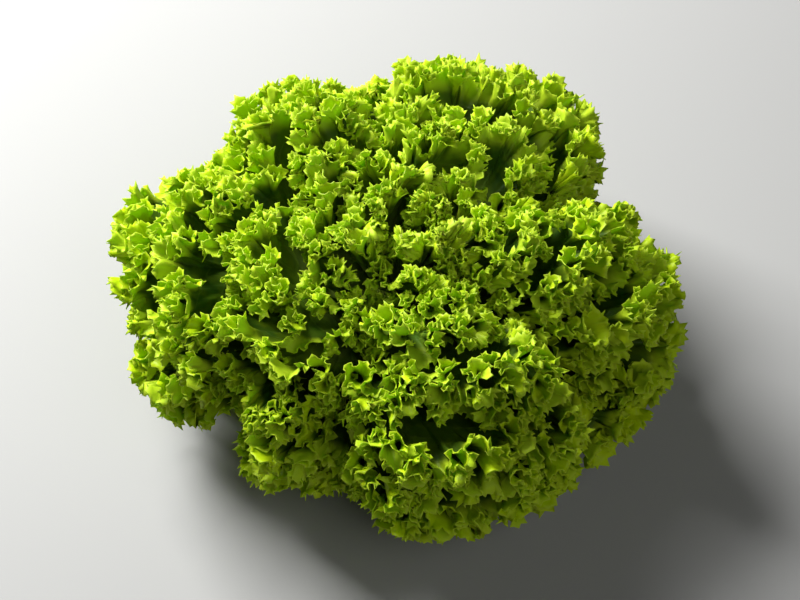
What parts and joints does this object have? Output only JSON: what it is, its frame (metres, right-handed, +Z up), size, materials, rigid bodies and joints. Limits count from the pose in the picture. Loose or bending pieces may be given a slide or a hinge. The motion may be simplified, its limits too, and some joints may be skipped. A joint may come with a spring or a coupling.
{
  "type": "green leaf lettuce",
  "caption": "Whole head of very curly green leaf lettuce: frilled, toothed leaves grown in a spiral round a short cut stem, standing on the cut.",
  "frame": {"origin": "centre of the stem's flat cut face, which the head stands on", "axes": "+Z up through the stem to the heart; -Y is the side that faces the viewer of the picture"},
  "size_m": [0.2828, 0.2636, 0.1352],
  "materials": {
    "leaf": "thin, glossy, slightly see-through yellow-green leaf, paler along its toothed edge",
    "heart_leaf": "as the leaf, younger and a little yellower",
    "stem": "moist pale green-white stem flesh, browned a little on the cut face"
  },
  "bodies": {
    "root": {"stem": "stem", "leaf_01": "leaf", "leaf_02": "leaf", "leaf_03": "leaf", "leaf_04": "leaf", "leaf_05": "leaf", "leaf_06": "leaf", "leaf_07": "leaf", "leaf_08": "leaf", "leaf_09": "leaf", "leaf_10": "leaf", "leaf_11": "leaf", "leaf_12": "leaf", "leaf_13": "leaf", "leaf_14": "leaf", "leaf_15": "leaf", "leaf_16": "leaf", "leaf_17": "leaf", "leaf_18": "leaf", "leaf_19": "leaf", "leaf_20": "leaf", "leaf_21": "leaf", "leaf_22": "leaf", "leaf_23": "leaf", "leaf_24": "leaf", "leaf_25": "leaf", "leaf_26": "leaf", "leaf_27": "heart_leaf", "leaf_28": "heart_leaf", "leaf_29": "heart_leaf", "leaf_30": "heart_leaf", "leaf_31": "heart_leaf", "leaf_32": "heart_leaf", "leaf_33": "heart_leaf", "leaf_34": "heart_leaf", "leaf_35": "heart_leaf", "leaf_36": "heart_leaf", "leaf_37": "heart_leaf", "leaf_38": "heart_leaf", "leaf_39": "heart_leaf", "leaf_40": "heart_leaf", "leaf_41": "heart_leaf", "leaf_42": "heart_leaf", "leaf_43": "heart_leaf", "leaf_44": "heart_leaf", "leaf_45": "heart_leaf", "leaf_46": "heart_leaf"}
  },
  "joints": []
}
